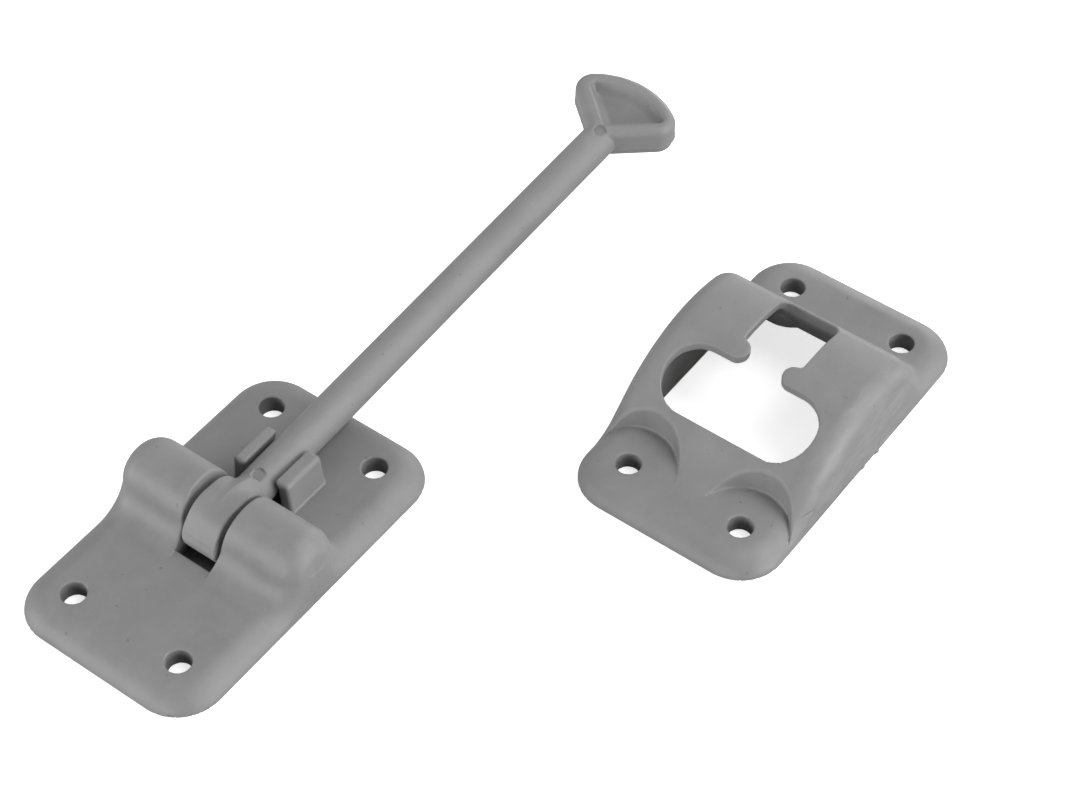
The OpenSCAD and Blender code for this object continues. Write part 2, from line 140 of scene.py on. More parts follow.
def polygon_2d(x, y, points):
    """Signed distance to a closed polygon, positive outside."""
    x, y = np.broadcast_arrays(x, y)
    points = np.asarray(points, float)
    best = np.full(x.shape, 1e9)
    inside = np.zeros(x.shape, bool)
    for (ax, ay), (bx, by) in zip(points, np.roll(points, -1, 0)):
        ex, ey = bx - ax, by - ay
        wx, wy = x - ax, y - ay
        t = np.clip((wx * ex + wy * ey) / max(ex * ex + ey * ey, 1e-12), 0, 1)
        best = np.minimum(best, (wx - ex * t) ** 2 + (wy - ey * t) ** 2)
        if ey != 0:
            crosses = ((ay > y) != (by > y)) & (x < ax + ex * (y - ay) / ey)
            inside ^= crosses
    return np.where(inside, -1, 1) * np.sqrt(best)


def arc(cx, cy, r, a0, a1, n):
    """Points on an arc from angle a0 to a1, in degrees."""
    a = np.radians(np.linspace(a0, a1, n + 1))
    return np.stack([cx + r * np.cos(a), cy + r * np.sin(a)], 1)


def smooth_share(z):
    """Share of the hump's shape at the top's height z: smoothstep above the flat."""
    k = np.clip((z - PLATE_T) / BLEND_Z, 0, 1)
    return k * k * (3 - 2 * k)


def profile_field(x, z, arcs, flat_ends):
    """Signed distance and height of the nearest point of a top profile made of arcs and joining lines.

    arcs are (cx, cz, r, a0, a1, sign), in order along the profile, with sign +1 where the solid is inside.
    """
    x, z = np.broadcast_arrays(np.asarray(x, float), np.asarray(z, float))
    best = np.full(x.shape, 1e9)
    signed = np.zeros(x.shape)
    height = np.zeros(x.shape)

    def offer(d, s, h):
        nonlocal best, signed, height
        near = d < best - 1e-9
        best = np.where(near, d, best)
        signed = np.where(near, s, signed)
        height = np.where(near, h, height)

    ends = []
    for cx, cz, r, a0, a1, sign in arcs:
        rho = length(x - cx, z - cz)
        ang = np.degrees(np.arctan2(z - cz, x - cx))
        mid, half = (a0 + a1) / 2, abs(a1 - a0) / 2
        turn = (ang - mid + 180) % 360 - 180
        inside = np.abs(turn) <= half + 1e-6
        s = sign * (rho - r)
        h = cz + r * (z - cz) / np.maximum(rho, 1e-9)
        offer(np.where(inside, np.abs(s), 1e9), s, h)
        for a in (a0, a1):
            ends.append((cx + r * math.cos(math.radians(a)), cz + r * math.sin(math.radians(a))))
    first, last = ends[0], ends[-1]
    lines = [((flat_ends[0], PLATE_T), first)] + [(ends[i], ends[i + 1]) for i in range(1, len(ends) - 1, 2)]
    lines.append((last, (flat_ends[1], PLATE_T)))
    for (ax, az), (bx, bz) in lines:
        ex, ez = bx - ax, bz - az
        n = math.hypot(ex, ez)
        if n < 1e-6:
            continue
        wx, wz = x - ax, z - az
        t = np.clip((wx * ex + wz * ez) / (n * n), 0, 1)
        d = length(wx - ex * t, wz - ez * t)
        side = (wz * ex - wx * ez) / n
        offer(d, np.where(side >= 0, 1, -1) * d, az + ez * t)
    return signed, height


def base_arcs():
    """Arcs of the base's hump: front sweep, crown, back sweep."""
    fz = PLATE_T + SWEEP_R
    fx = CROWN_X - math.sqrt((CROWN_R + SWEEP_R) ** 2 - (CROWN_Z - fz) ** 2)
    bz = PLATE_T + HEEL_SWEEP_R
    reach = CROWN_R + HEEL_SWEEP_R
    lean = math.radians(BACK_LEAN)
    drop = (CROWN_Z + reach * math.sin(lean) - bz) / math.cos(lean)
    bx = CROWN_X + reach * math.cos(lean) + drop * math.sin(lean)
    af = math.degrees(math.atan2(CROWN_Z - fz, CROWN_X - fx))
    return [(fx, fz, SWEEP_R, -90, af, -1), (CROWN_X, CROWN_Z, CROWN_R, 180 + af, BACK_LEAN, 1),
            (bx, bz, HEEL_SWEEP_R, 180 + BACK_LEAN, 270, -1)]


def keeper_arcs():
    """Arcs of the keeper's top: ramp foot, long face, brow, back foot."""
    ra, ba, ka = math.radians(RAMP_A), math.radians(BROW_A), math.radians(BACK_A)
    cx, cz = CREST_X, CREST_Z - FACE_R
    sx, sz = cx - FACE_R * math.sin(ra), cz + FACE_R * math.cos(ra)
    foot = sx - (sz - PLATE_T) / math.tan(ra)
    wx, wz = cx + (FACE_R - BROW_R) * math.sin(ba), cz + (FACE_R - BROW_R) * math.cos(ba)
    ex, ez = wx + BROW_R * math.sin(ka), wz + BROW_R * math.cos(ka)
    back = ex + (ez - PLATE_T) / math.tan(ka)
    fx = foot - RAMP_SWEEP_R * math.tan(ra / 2)
    bx = back + BACK_SWEEP_R * math.tan(ka / 2)
    return [(fx, PLATE_T + RAMP_SWEEP_R, RAMP_SWEEP_R, -90, -90 + RAMP_A, -1),
            (cx, cz, FACE_R, 90 + RAMP_A, 90 - BROW_A, 1),
            (wx, wz, BROW_R, 90 - BROW_A, 90 - BACK_A, 1),
            (bx, PLATE_T + BACK_SWEEP_R, BACK_SWEEP_R, 270 - BACK_A, 270, -1)]


def skin_field(x, y, z, l, arcs, sides, inset, flat_only=False):
    """Plate with its soft edge: a long low round on the flat, a tighter shoulder on the hump.

    The radius is (1 - k) EDGE_R + k shoulder, with k the share of the hump's shape at the top's height. On
    the flat the round is set outwards, so that it starts EDGE_LAND above the mounting face.
    """
    side = box_2d(x, y, l / 2, PLATE_W / 2, CORNER_R)
    if flat_only:
        top, k = z - PLATE_T, 0.0
    else:
        top, h = profile_field(x, z, arcs, (-l, l))
        k = smooth_share(h)
    lean = k * sides[1] * z
    if inset:
        return cut_round(top + inset, side + inset + lean, INNER_R)
    start = math.asin((EDGE_R - PLATE_T + EDGE_LAND) / EDGE_R)
    shift = (1 - k) * EDGE_R * (1 - math.cos(start))
    r = (1 - k) * EDGE_R + k * sides[0]
    soft = cut_round(top, side + lean - shift, r)
    return cut_round(cut_round(soft, side + lean, SIDE_R), -z, FOOT_R)


def four_holes(x, y, sx, sy, r):
    """Field of four round holes on a rectangle."""
    return length(np.abs(x) - sx / 2, np.abs(y) - sy / 2) - r


def hole_r(z):
    """Radius of a screw hole, a little narrower towards the mounting face."""
    return HOLE_D / 2 - HOLE_DRAFT * (PLATE_T - z)


def base_field(x, y, z):
    """Base plate: hollow skin, slot, holes, clip tabs, pin notch, stop rib and webs."""
    arcs = base_arcs()
    u = x - PIN_X
    outer = skin_field(x, y, z, BASE_L, arcs, BASE_SIDES, 0)
    flat = skin_field(x, y, z, BASE_L, arcs, BASE_SIDES, 0, True)
    half = SLOT_HALF + SLOT_DRAFT * np.maximum(z - PLATE_T, 0)
    body = np.minimum(flat, cut_round(outer, half - np.abs(y), CUT_R))
    hollow = skin_field(x, y, z, BASE_L, arcs, BASE_SIDES, WALL)
    boss = np.maximum(four_holes(x, y, BASE_HOLE_X, HOLE_Y, BOSS_D / 2), z - PLATE_T + 1)
    around = np.maximum(np.abs(y) - half - WALL, slab(u, -SLOT_FRONT - WALL, SLOT_BACK + WALL))
    block = np.maximum(slab(x, PIN_X - PIN_D, PIN_X + PIN_D), np.abs(y) - PIN_L / 2 - BEARING_T)
    hollow = cut_round(hollow, -np.minimum(boss, np.minimum(around, block)), HOLLOW_R)
    body = cut_round(body, -hollow, SLOT_EDGE_R)
    ends = slab(u, -SLOT_FRONT, SLOT_BACK)
    slot = np.maximum(np.abs(y) - SLOT_HALF, ends)
    body = cut_round(body, -slot, np.where(np.abs(ends) < 1.2, SLOT_EDGE_R, 0.02))
    w = PIN_D / 2 + PIN_GAP
    notch = np.minimum(length(x - PIN_X, z - PIN_Z) - w,
                       np.maximum(np.abs(x - PIN_X) - w + PIN_THROAT / 2, z - PIN_Z))
    body = np.maximum(body, -np.maximum(notch, np.abs(y) - PIN_L / 2 - PIN_GAP))
    stop_x = PIN_X + STOP_R * math.cos(math.radians(STOP_A))
    stop_z = PIN_Z + STOP_R * math.sin(math.radians(STOP_A))
    rib = np.maximum(slab(x, stop_x, stop_x + STOP_T), z - stop_z)
    web = np.maximum(slab(x, stop_x, PIN_X + SLOT_BACK + 0.5), z - WEB_Z)
    front = np.maximum(slab(x, PIN_X - SLOT_FRONT - 0.5, PIN_X - SLOT_FRONT + FRONT_WEB), z - FRONT_WEB_Z)
    floor = np.minimum(np.minimum(rib, web), front)
    floor = np.maximum(np.maximum(floor, np.abs(y) - SLOT_HALF - 0.3), -z)
    body = np.maximum(join_round(body, floor, 0.2), -z)
    lip = ROD_D / 2 + LIP_GAP
    inner = max(SLOT_HALF, lip + 0.3)
    outer_y = lip + TAB_T
    section = np.concatenate([
        [[inner, PLATE_T - 2], [inner, TAB_Z - 2.0], [lip, TAB_Z - 1.3]],
        arc(lip + 0.35, TAB_Z - 0.35, 0.35, 180, 90, 4), arc(outer_y - 1.0, TAB_Z - 1.0, 1.0, 90, 8, 6),
        [[outer_y + TAB_ROOT, PLATE_T + 0.4], [outer_y + TAB_ROOT + 0.4, PLATE_T - 2]]])
    across = np.abs(y) - TAB_EXTRA * np.clip((-y - lip) / 2, 0, 1)
    tab = cut_round(polygon_2d(across, z, section), slab(u, TAB_START, TAB_START + TAB_L), 0.8)
    tab = np.maximum(tab, PLATE_T - 1 - z)
    body = join_round(body, tab, 0.3)
    return cut_round(body, -four_holes(x, y, BASE_HOLE_X, HOLE_Y, hole_r(z)), RIM_EDGE_R)


def window_points():
    """Outline of the keeper's window: wide mouth, two horns, narrower slot."""
    horn_x, horn_y = MOUTH_X + MOUTH_R + HORN_R, HORN_HALF + HORN_R
    dy = horn_y - NECK_HALF + HORN_ROOT_R
    root_x = horn_x + math.sqrt((HORN_R + HORN_ROOT_R) ** 2 - dy * dy)
    root_y = NECK_HALF - HORN_ROOT_R
    a = math.degrees(math.atan2(root_y - horn_y, root_x - horn_x))
    h = np.concatenate([
        arc(MOUTH_X, MOUTH_Y, MOUTH_R, 180, 0, 36), arc(horn_x, horn_y, HORN_R, 180, 360 + a, 24),
        arc(root_x, root_y, HORN_ROOT_R, 180 + a, 90, 8),
        arc(NECK_BACK - NECK_R, NECK_HALF - NECK_R, NECK_R, 90, 0, 8)])
    return np.concatenate([h, h[::-1] * [1, -1]])


def keeper_field(x, y, z):
    """Keeper plate: hollow ramp with screw seats and the window."""
    x = x - KEEPER_X
    y = y - KEEPER_Y
    arcs = keeper_arcs()
    outer = skin_field(x, y, z, KEEPER_L, arcs, KEEPER_SIDES, 0)
    flat = skin_field(x, y, z, KEEPER_L, arcs, KEEPER_SIDES, 0, True)
    seat = length(x + KEEPER_HOLE_X / 2, np.abs(y) - HOLE_Y / 2)
    ramp = cut_round(outer, SEAT_R + SEAT_DRAFT * (z - PLATE_T) - seat, 0.5)
    height = -profile_field(x, PLATE_T, arcs, (-KEEPER_L, KEEPER_L))[0]
    foot = np.clip(height - 0.4, 0, 1) * np.clip((PLATE_W / 2 - 3 - np.abs(y)) / 3, 0, 1)
    body = join_round(flat, ramp, 1e-6 + SEAT_FOOT_R * foot * np.clip(SEAT_R + 1 - seat, 0, 1))
    hollow = skin_field(x, y, z, KEEPER_L, arcs, KEEPER_SIDES, WALL)
    boss = np.maximum(four_holes(x, y, KEEPER_HOLE_X, HOLE_Y, BOSS_D / 2), z - PLATE_T + 1)
    shell = np.maximum(seat - SEAT_R - WALL, PLATE_T - WALL - z)
    big = np.maximum(length(x - KEEPER_HOLE_X / 2, np.abs(y) - HOLE_Y / 2) - BACK_BOSS_D / 2, z - RIB_Z)
    reach = CAVITY_FRONT - 8
    inside = box_2d(x - (CAVITY_BACK + reach) / 2, y, (CAVITY_BACK - reach) / 2, CAVITY_HALF, CAVITY_R)
    rib = np.maximum(np.maximum(-inside, slab(x, CAVITY_FRONT, CAVITY_BACK + RIB_T)), z - RIB_Z)
    sides = PLATE_W / 2 - SIDE_WALL - np.abs(y)
    keep = np.minimum(np.minimum(np.minimum(boss, shell), np.minimum(big, rib)), sides)
    hollow = cut_round(hollow, -keep, HOLLOW_R)
    body = cut_round(body, -hollow, RIM_EDGE_R)
    window = polygon_2d(x, y - WINDOW_Y, window_points())
    body = cut_round(body, -window, CUT_R)
    (ax, ay, az), (bx, by, bz) = NICK
    ex, ey, ez = bx - ax, by - ay, bz - az
    t = np.clip(((x - ax) * ex + (y - ay) * ey) / (ex ** 2 + ey ** 2), 0, 1)
    nick = length(length(x - ax - t * ex, y - ay - t * ey), z - az - t * ez) - NICK_R
    body = cut_round(body, -nick, 0.1)
    for bx, bz in BURRS:
        burr = length(length((x - bx) * 0.6, y + PLATE_W / 2), z - bz) - BURR_R
        body = join_round(body, burr, 0.1)
    return cut_round(body, -four_holes(x, y, KEEPER_HOLE_X, HOLE_Y, hole_r(z)), RIM_EDGE_R)


def head_points():
    """Outline of the arm's fan-shaped head in the arm's own frame."""
    c = ARM_L - HEAD_ARC_R
    corner = c + math.sqrt((HEAD_ARC_R - HEAD_CORNER_R) ** 2 - HEAD_CORNER_Y ** 2)
    sa = math.radians(HEAD_SIDE_A)
    tx = corner - HEAD_CORNER_R * math.sin(sa)
    ty = -HEAD_CORNER_Y - HEAD_CORNER_R * math.cos(sa)
    back = (-ty - 1) / math.sin(sa)
    meet = math.degrees(math.atan2(-HEAD_CORNER_Y, corner - c))
    h = np.concatenate([[[tx - back * math.cos(sa), ty + back * math.sin(sa)]],
                        arc(corner, -HEAD_CORNER_Y, HEAD_CORNER_R, 270 - HEAD_SIDE_A, 360 + meet, 20),
                        arc(c, 0, HEAD_ARC_R, meet * 0.95, meet * 0.02, 24)])
    return np.concatenate([h, h[::-1] * [1, -1]])


def arm_field(u, y, w):
    """Arm in its own frame, u along the rod and w up from it: barrel, heel, rod and head.

    The moulding is twisted a little about its rod, by TWIST degrees from the barrel to the head.
    """
    turn = math.radians(TWIST) * np.clip((u - TWIST_START) / (ARM_L - TWIST_REST), 0, 1)
    v = y * np.cos(turn) + w * np.sin(turn)
    h = w * np.cos(turn) - y * np.sin(turn)
    rod = cut_round(length(v, h) - ROD_D / 2, slab(u, 0, ARM_L - HEAD_ARC_R + 3), 1.5)
    outline = polygon_2d(u, v, head_points())
    ridge = RIDGE * np.clip(1 - np.abs(h - PART_H) / RIDGE_HALF, 0, 1)
    step = STEP * np.clip((h - PART_H) / STEP_RUN + 0.5, 0, 1)
    head = cut_round(outline + STEP - ridge - step, np.abs(h) - HEAD_T / 2, RIM_R)
    depth = HEAD_T / 2 - np.abs(h)
    wall = polygon_2d(u, v + POCKET_SHIFT, head_points()) + RIM_W + POCKET_DRAFT * depth
    pocket = cut_round(wall, WEB_T / 2 - np.abs(h), POCKET_R)
    head = cut_round(head, -pocket, CUT_R)
    body = join_round(rod, head, 0.2)
    barrel = length(u, w) - BARREL_R
    for a in (183, 207):
        a = math.radians(a - ARM_RISE)
        reach = HEEL_REACH - HEEL_R
        barrel = join_round(barrel, length(u - reach * math.cos(a), w - reach * math.sin(a)) - HEEL_R, 1.2)
    top = length(u - np.clip(u, 0, SADDLE_L), w) - BARREL_R
    barrel = join_round(barrel, np.maximum(top, -w - 1), 0.3)
    barrel = cut_round(barrel, np.abs(y) - BARREL_HALF, 0.5)
    body = join_round(body, barrel, 0.3 + 3.7 * np.clip(1 - np.abs(y) / 3.6, 0, 1) * (w > 0))
    body = cut_round(body, PIN_D / 2 + PIN_GAP - length(u, w), 0.15)
    for m in MARKS:
        body = cut_round(body, -np.maximum(length(u - m, v - MARK_Y) - MARK_R, MARK_Z - h), 0.15)
    return body


def mesh_field(field, low, high, cell):
    """Dual mesh of a field's zero surface: one vertex in each cell that it crosses, pulled onto it."""
    low, high = np.array(low, float), np.array(high, float)
    axes = [np.arange(low[i] - cell * 1.37, high[i] + cell * 2, cell) for i in range(3)]
    xs, ys, zs = axes
    values = field(xs[:, None, None], ys[None, :, None], zs[None, None, :])
    values = np.ascontiguousarray(np.broadcast_to(values, (len(xs), len(ys), len(zs))), np.float32)
    inside = values < 0
    corners = [(i, j, k) for i in (0, 1) for j in (0, 1) for k in (0, 1)]
    shape = tuple(n - 1 for n in values.shape)
    count = np.zeros(shape, np.int8)
    for i, j, k in corners:
        count += inside[i:i + shape[0], j:j + shape[1], k:k + shape[2]]
    cells = np.argwhere((count > 0) & (count < 8))
    index = np.full(shape, -1, np.int64)
    index[tuple(cells.T)] = np.arange(len(cells))
    total = np.zeros((len(cells), 3))
    hits = np.zeros(len(cells))
    for a in corners:
        for axis in range(3):
            if a[axis]:
                continue
            b = list(a)
            b[axis] = 1
            va = values[tuple((cells + a).T)]
            vb = values[tuple((cells + b).T)]
            cross = (va < 0) != (vb < 0)
            t = np.where(cross, va / np.where(cross, va - vb, 1), 0)
            p = np.tile(np.array(a, float), (len(cells), 1))
            p[:, axis] += t
            total += p * cross[:, None]
            hits += cross
    points = np.array([a[0] for a in axes]) + (cells + total / hits[:, None]) * cell
    quads = []
    for axis in range(3):
        o1, o2 = [i for i in range(3) if i != axis]
        core = [slice(1, -1)] * 3
        core[axis] = slice(0, -1)
        ahead = list(core)
        ahead[axis] = slice(1, None)
        a, b = inside[tuple(core)], inside[tuple(ahead)]
        where = np.argwhere(a != b)
        where[:, o1] += 1
        where[:, o2] += 1
        up = inside[tuple(where.T)]
        ring = []
        for d1, d2 in ((-1, -1), (0, -1), (0, 0), (-1, 0)):
            c = where.copy()
            c[:, o1] += d1
            c[:, o2] += d2
            ring.append(index[tuple(c.T)])
        q = np.stack(ring, 1)
        flip = up if axis != 1 else ~up
        q[~flip] = q[~flip][:, ::-1]
        quads.append(q)
    quads = np.concatenate(quads)

    def at(p):
        return field(p[:, 0], p[:, 1], p[:, 2])

    def slope(p, step):
        g = np.zeros_like(p)
        for i in range(3):
            d = np.zeros(3)
            d[i] = step
            g[:, i] = (at(p + d) - at(p - d)) / (2 * step)
        return g

    for _ in range(3):
        g = slope(points, 0.02)
        move = -at(points)[:, None] * g / np.maximum((g * g).sum(1, keepdims=True), 0.25)
        size = np.linalg.norm(move, axis=1, keepdims=True)
        points += move * np.minimum(1, 0.5 * cell / np.maximum(size, 1e-9))
    normals = slope(points, 0.05)
    normals /= np.maximum(np.linalg.norm(normals, axis=1, keepdims=True), 1e-9)
    return points, quads, normals


def new_piece(name, points, faces, material, body, nodes, normals=None):
    """Object in metres from a mesh in millimetres, riding on a body in place of CAD nodes."""
    mesh = bpy.data.meshes.new(name)
    mesh.vertices.add(len(points))
    mesh.vertices.foreach_set("co", (np.asarray(points) / 1000).astype(np.float32).ravel())
    sides = faces.shape[1]
    mesh.loops.add(faces.size)
    mesh.loops.foreach_set("vertex_index", faces.astype(np.int32).ravel())
    mesh.polygons.add(len(faces))
    mesh.polygons.foreach_set("loop_start", np.arange(0, faces.size, sides, dtype=np.int32))
    mesh.polygons.foreach_set("loop_total", np.full(len(faces), sides, np.int32))
    mesh.update(calc_edges=True)
    mesh.validate()
    mesh.polygons.foreach_set("use_smooth", np.ones(len(mesh.polygons), bool))
    if normals is not None:
        mesh.normals_split_custom_set_from_vertices(normals.astype(np.float32))
    mesh.materials.append(material)
    o = bpy.data.objects.new(name, mesh)
    bpy.context.scene.collection.objects.link(o)
    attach(o, body)
    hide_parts(*nodes)
    return o


def revolve(profile, steps):
    """Closed surface of revolution about Y: (y, r) points turned round, with r = 0 at both ends."""
    a = np.linspace(0, 2 * math.pi, steps, endpoint=False)
    rings = [np.stack([r * np.sin(a), np.full(steps, y), r * np.cos(a)], 1) for y, r in profile]
    points = np.concatenate(rings)
    i = np.arange(steps)
    j = (i + 1) % steps
    faces = [np.stack([k * steps + i, k * steps + j, (k + 1) * steps + j, (k + 1) * steps + i], 1)
             for k in range(len(profile) - 1)]
    return points, np.concatenate(faces)


class Nodes:
    """Short helper for building a shader tree."""

    def __init__(self, tree):
        self.tree = tree
        self.tree.nodes.clear()

    def add(self, kind, **values):
        """Node with its inputs (in_Name) and settings."""
        n = self.tree.nodes.new(kind)
        for key, value in values.items():
            if key.startswith("in_"):
                n.inputs[key[3:].replace("_", " ")].default_value = value
            else:
                setattr(n, key, value)
        return n

    def link(self, a, b):
        self.tree.links.new(a, b)

    def noise(self, vector, scale, detail=2.0, roughness=0.5, distortion=0.0):
        """Factor of a noise texture."""
        n = self.add("ShaderNodeTexNoise", in_Scale=scale, in_Detail=detail, in_Roughness=roughness,
                     in_Distortion=distortion)
        self.link(vector, n.inputs["Vector"])
        return n.outputs["Fac"]

    def ramp(self, value, low, high, out_low, out_high):
        """Value mapped from low..high to out_low..out_high, clamped."""
        n = self.add("ShaderNodeMapRange")
        for key, v in (("From Min", low), ("From Max", high), ("To Min", out_low), ("To Max", out_high)):
            n.inputs[key].default_value = v
        self.link(value, n.inputs["Value"])
        return n.outputs["Result"]

    def math(self, operation, a, b):
        """One math node on two sockets or numbers."""
        n = self.add("ShaderNodeMath", operation=operation)
        for i, v in enumerate((a, b)):
            if isinstance(v, (int, float)):
                n.inputs[i].default_value = v
            else:
                self.link(v, n.inputs[i])
        return n.outputs["Value"]


def new_material(name):
    """Empty material with a Principled shader: its node helper and the shader."""
    m = bpy.data.materials.new(name)
    m.use_nodes = True
    t = Nodes(m.node_tree)
    out = t.add("ShaderNodeOutputMaterial")
    bsdf = t.add("ShaderNodeBsdfPrincipled")
    t.link(bsdf.outputs["BSDF"], out.inputs["Surface"])
    return m, t, bsdf


def moulded_skin():
    """Node group of a moulded plastic's skin, on a position in metres.

    Tint is 1 plus clouds and flow streaks, less dark specks. Gloss follows the clouds and streaks. Normal
    comes from a fine grain and a broad, shallow waviness left by cooling.
    """
    group = bpy.data.node_groups.new("moulded_skin", "ShaderNodeTree")
    t = Nodes(group)
    for name, kind, value in (("Position", "NodeSocketVector", None), ("Clouds", "NodeSocketFloat", 0.2),
                              ("Streaks", "NodeSocketFloat", 0.05), ("Specks", "NodeSocketFloat", 0.25),
                              ("Grain", "NodeSocketFloat", 0.35)):
        socket = group.interface.new_socket(name, in_out="INPUT", socket_type=kind)
        if value is not None:
            socket.default_value = value
    for name, kind in (("Tint", "NodeSocketFloat"), ("Gloss", "NodeSocketFloat"),
                       ("Normal", "NodeSocketVector")):
        group.interface.new_socket(name, in_out="OUTPUT", socket_type=kind)
    given = t.add("NodeGroupInput")
    out = t.add("NodeGroupOutput")
    at = given.outputs["Position"]
    cloud = t.ramp(t.noise(at, 75.0, 7.0, 0.75), 0.3, 0.7, -0.5, 0.5)
    stretch = t.add("ShaderNodeMapping")
    stretch.inputs["Scale"].default_value = (60, 260, 160)
    t.link(at, stretch.inputs["Vector"])
    flow = t.ramp(t.noise(stretch.outputs["Vector"], 1.0, 3.0, 0.5, 0.6), 0.3, 0.7, -0.5, 0.5)
    speck = t.ramp(t.noise(at, 620.0, 1.0), 0.75, 0.80, 0.0, 1.0)
    tint = t.math("ADD", t.math("MULTIPLY", cloud, given.outputs["Clouds"]), 1.0)
    tint = t.math("ADD", t.math("MULTIPLY", flow, given.outputs["Streaks"]), tint)
    tint = t.math("SUBTRACT", tint, t.math("MULTIPLY", speck, given.outputs["Specks"]))
    t.link(tint, out.inputs["Tint"])
    gloss = t.math("ADD", t.math("MULTIPLY", flow, 0.6), t.math("MULTIPLY", cloud, 0.4))
    t.link(gloss, out.inputs["Gloss"])
    fine = t.add("ShaderNodeBump", in_Distance=0.00004)
    t.link(given.outputs["Grain"], fine.inputs["Strength"])
    t.link(t.noise(at, 2600.0, 2.0, 0.6), fine.inputs["Height"])
    broad = t.add("ShaderNodeBump", in_Strength=0.16, in_Distance=0.00025)
    t.link(t.noise(at, 190.0), broad.inputs["Height"])
    t.link(fine.outputs["Normal"], broad.inputs["Normal"])
    t.link(broad.outputs["Normal"], out.inputs["Normal"])
    return group


def plastic(name, tone, place, group, painted_light_and_wear=None):
    """Grey plastic with the moulded skin, looked up at the place given so that no two pieces match.

    The mask function given last, called on (t, position), polishes the plastic where it is above 0 and
    lightens its colour there; that lightening is painted light.
    """
    m, t, bsdf = new_material(name)
    coords = t.add("ShaderNodeTexCoord")
    shift = t.add("ShaderNodeMapping")
    shift.inputs["Location"].default_value = place
    t.link(coords.outputs["Object"], shift.inputs["Vector"])
    skin = t.add("ShaderNodeGroup")
    skin.node_tree = group
    t.link(shift.outputs["Vector"], skin.inputs["Position"])
    tint = skin.outputs["Tint"]
    gloss = t.ramp(skin.outputs["Gloss"], -0.5, 0.5, 0.46, 0.60)
    if painted_light_and_wear:
        mask = painted_light_and_wear(t, coords.outputs["Object"])
        # Lighter colour under the mask is painted light; the lower roughness below is real polish.
        tint = t.math("ADD", tint, t.math("MULTIPLY", mask, 0.12))
        gloss = t.math("ADD", gloss, t.math("MULTIPLY", mask, -0.12))
    colour = t.add("ShaderNodeVectorMath", operation="SCALE")
    colour.inputs[0].default_value = tone
    t.link(tint, colour.inputs["Scale"])
    t.link(colour.outputs["Vector"], bsdf.inputs["Base Color"])
    t.link(gloss, bsdf.inputs["Roughness"])
    t.link(skin.outputs["Normal"], bsdf.inputs["Normal"])
    bsdf.inputs["IOR"].default_value = 1.49
    return m


def between(t, value, low, high, soft):
    """Mask that is 1 between low and high and fades over soft on both sides."""
    rise = t.ramp(value, low - soft, low, 0.0, 1.0)
    return t.math("MULTIPLY", rise, t.ramp(value, high, high + soft, 1.0, 0.0))


def scuffed_shoulder_painted_light(t, position):
    """Scuffs along the keeper's right shoulder, with the colour lightened as painted light where the light
    from the right falls: long noise, kept to that side.
    """
    split = t.add("ShaderNodeSeparateXYZ")
    t.link(position, split.inputs["Vector"])
    side = between(t, split.outputs["Y"], -0.0925, -0.0885, 0.0015)
    along = between(t, split.outputs["X"], 0.0765, 0.104, 0.006)
    stretch = t.add("ShaderNodeMapping")
    stretch.inputs["Scale"].default_value = (130, 300, 300)
    t.link(position, stretch.inputs["Vector"])
    rubbed = t.ramp(t.noise(stretch.outputs["Vector"], 1.0, 3.0, 0.6, 0.4), 0.42, 0.62, 0.0, 1.0)
    return t.math("MULTIPLY", t.math("MULTIPLY", side, along), rubbed)


def polished_heel_painted_highlight(t, position):
    """The heel's lower front, polished by the hump's slot, with its colour lightened there as a painted
    highlight.
    """
    split = t.add("ShaderNodeSeparateXYZ")
    t.link(position, split.inputs["Vector"])
    front = t.ramp(split.outputs["X"], -0.0068, -0.0056, 2.6, 0.0)
    return t.math("MULTIPLY", front, t.ramp(split.outputs["Z"], 0.008, 0.010, 1.0, 0.0))


def steel(name):
    """Drawn steel wire of the pin: fine lines along it."""
    m, t, bsdf = new_material(name)
    bsdf.inputs["Metallic"].default_value = 1.0
    bsdf.inputs["Base Color"].default_value = (0.56, 0.56, 0.57, 1)
    coords = t.add("ShaderNodeTexCoord")
    stretch = t.add("ShaderNodeMapping")
    stretch.inputs["Scale"].default_value = (4000, 120, 4000)
    t.link(coords.outputs["Object"], stretch.inputs["Vector"])
    lines = t.noise(stretch.outputs["Vector"], 1.0)
    t.link(t.ramp(lines, 0.0, 1.0, 0.24, 0.42), bsdf.inputs["Roughness"])
    return m


# The plastic's one grey
GREY = (0.183, 0.183, 0.183)


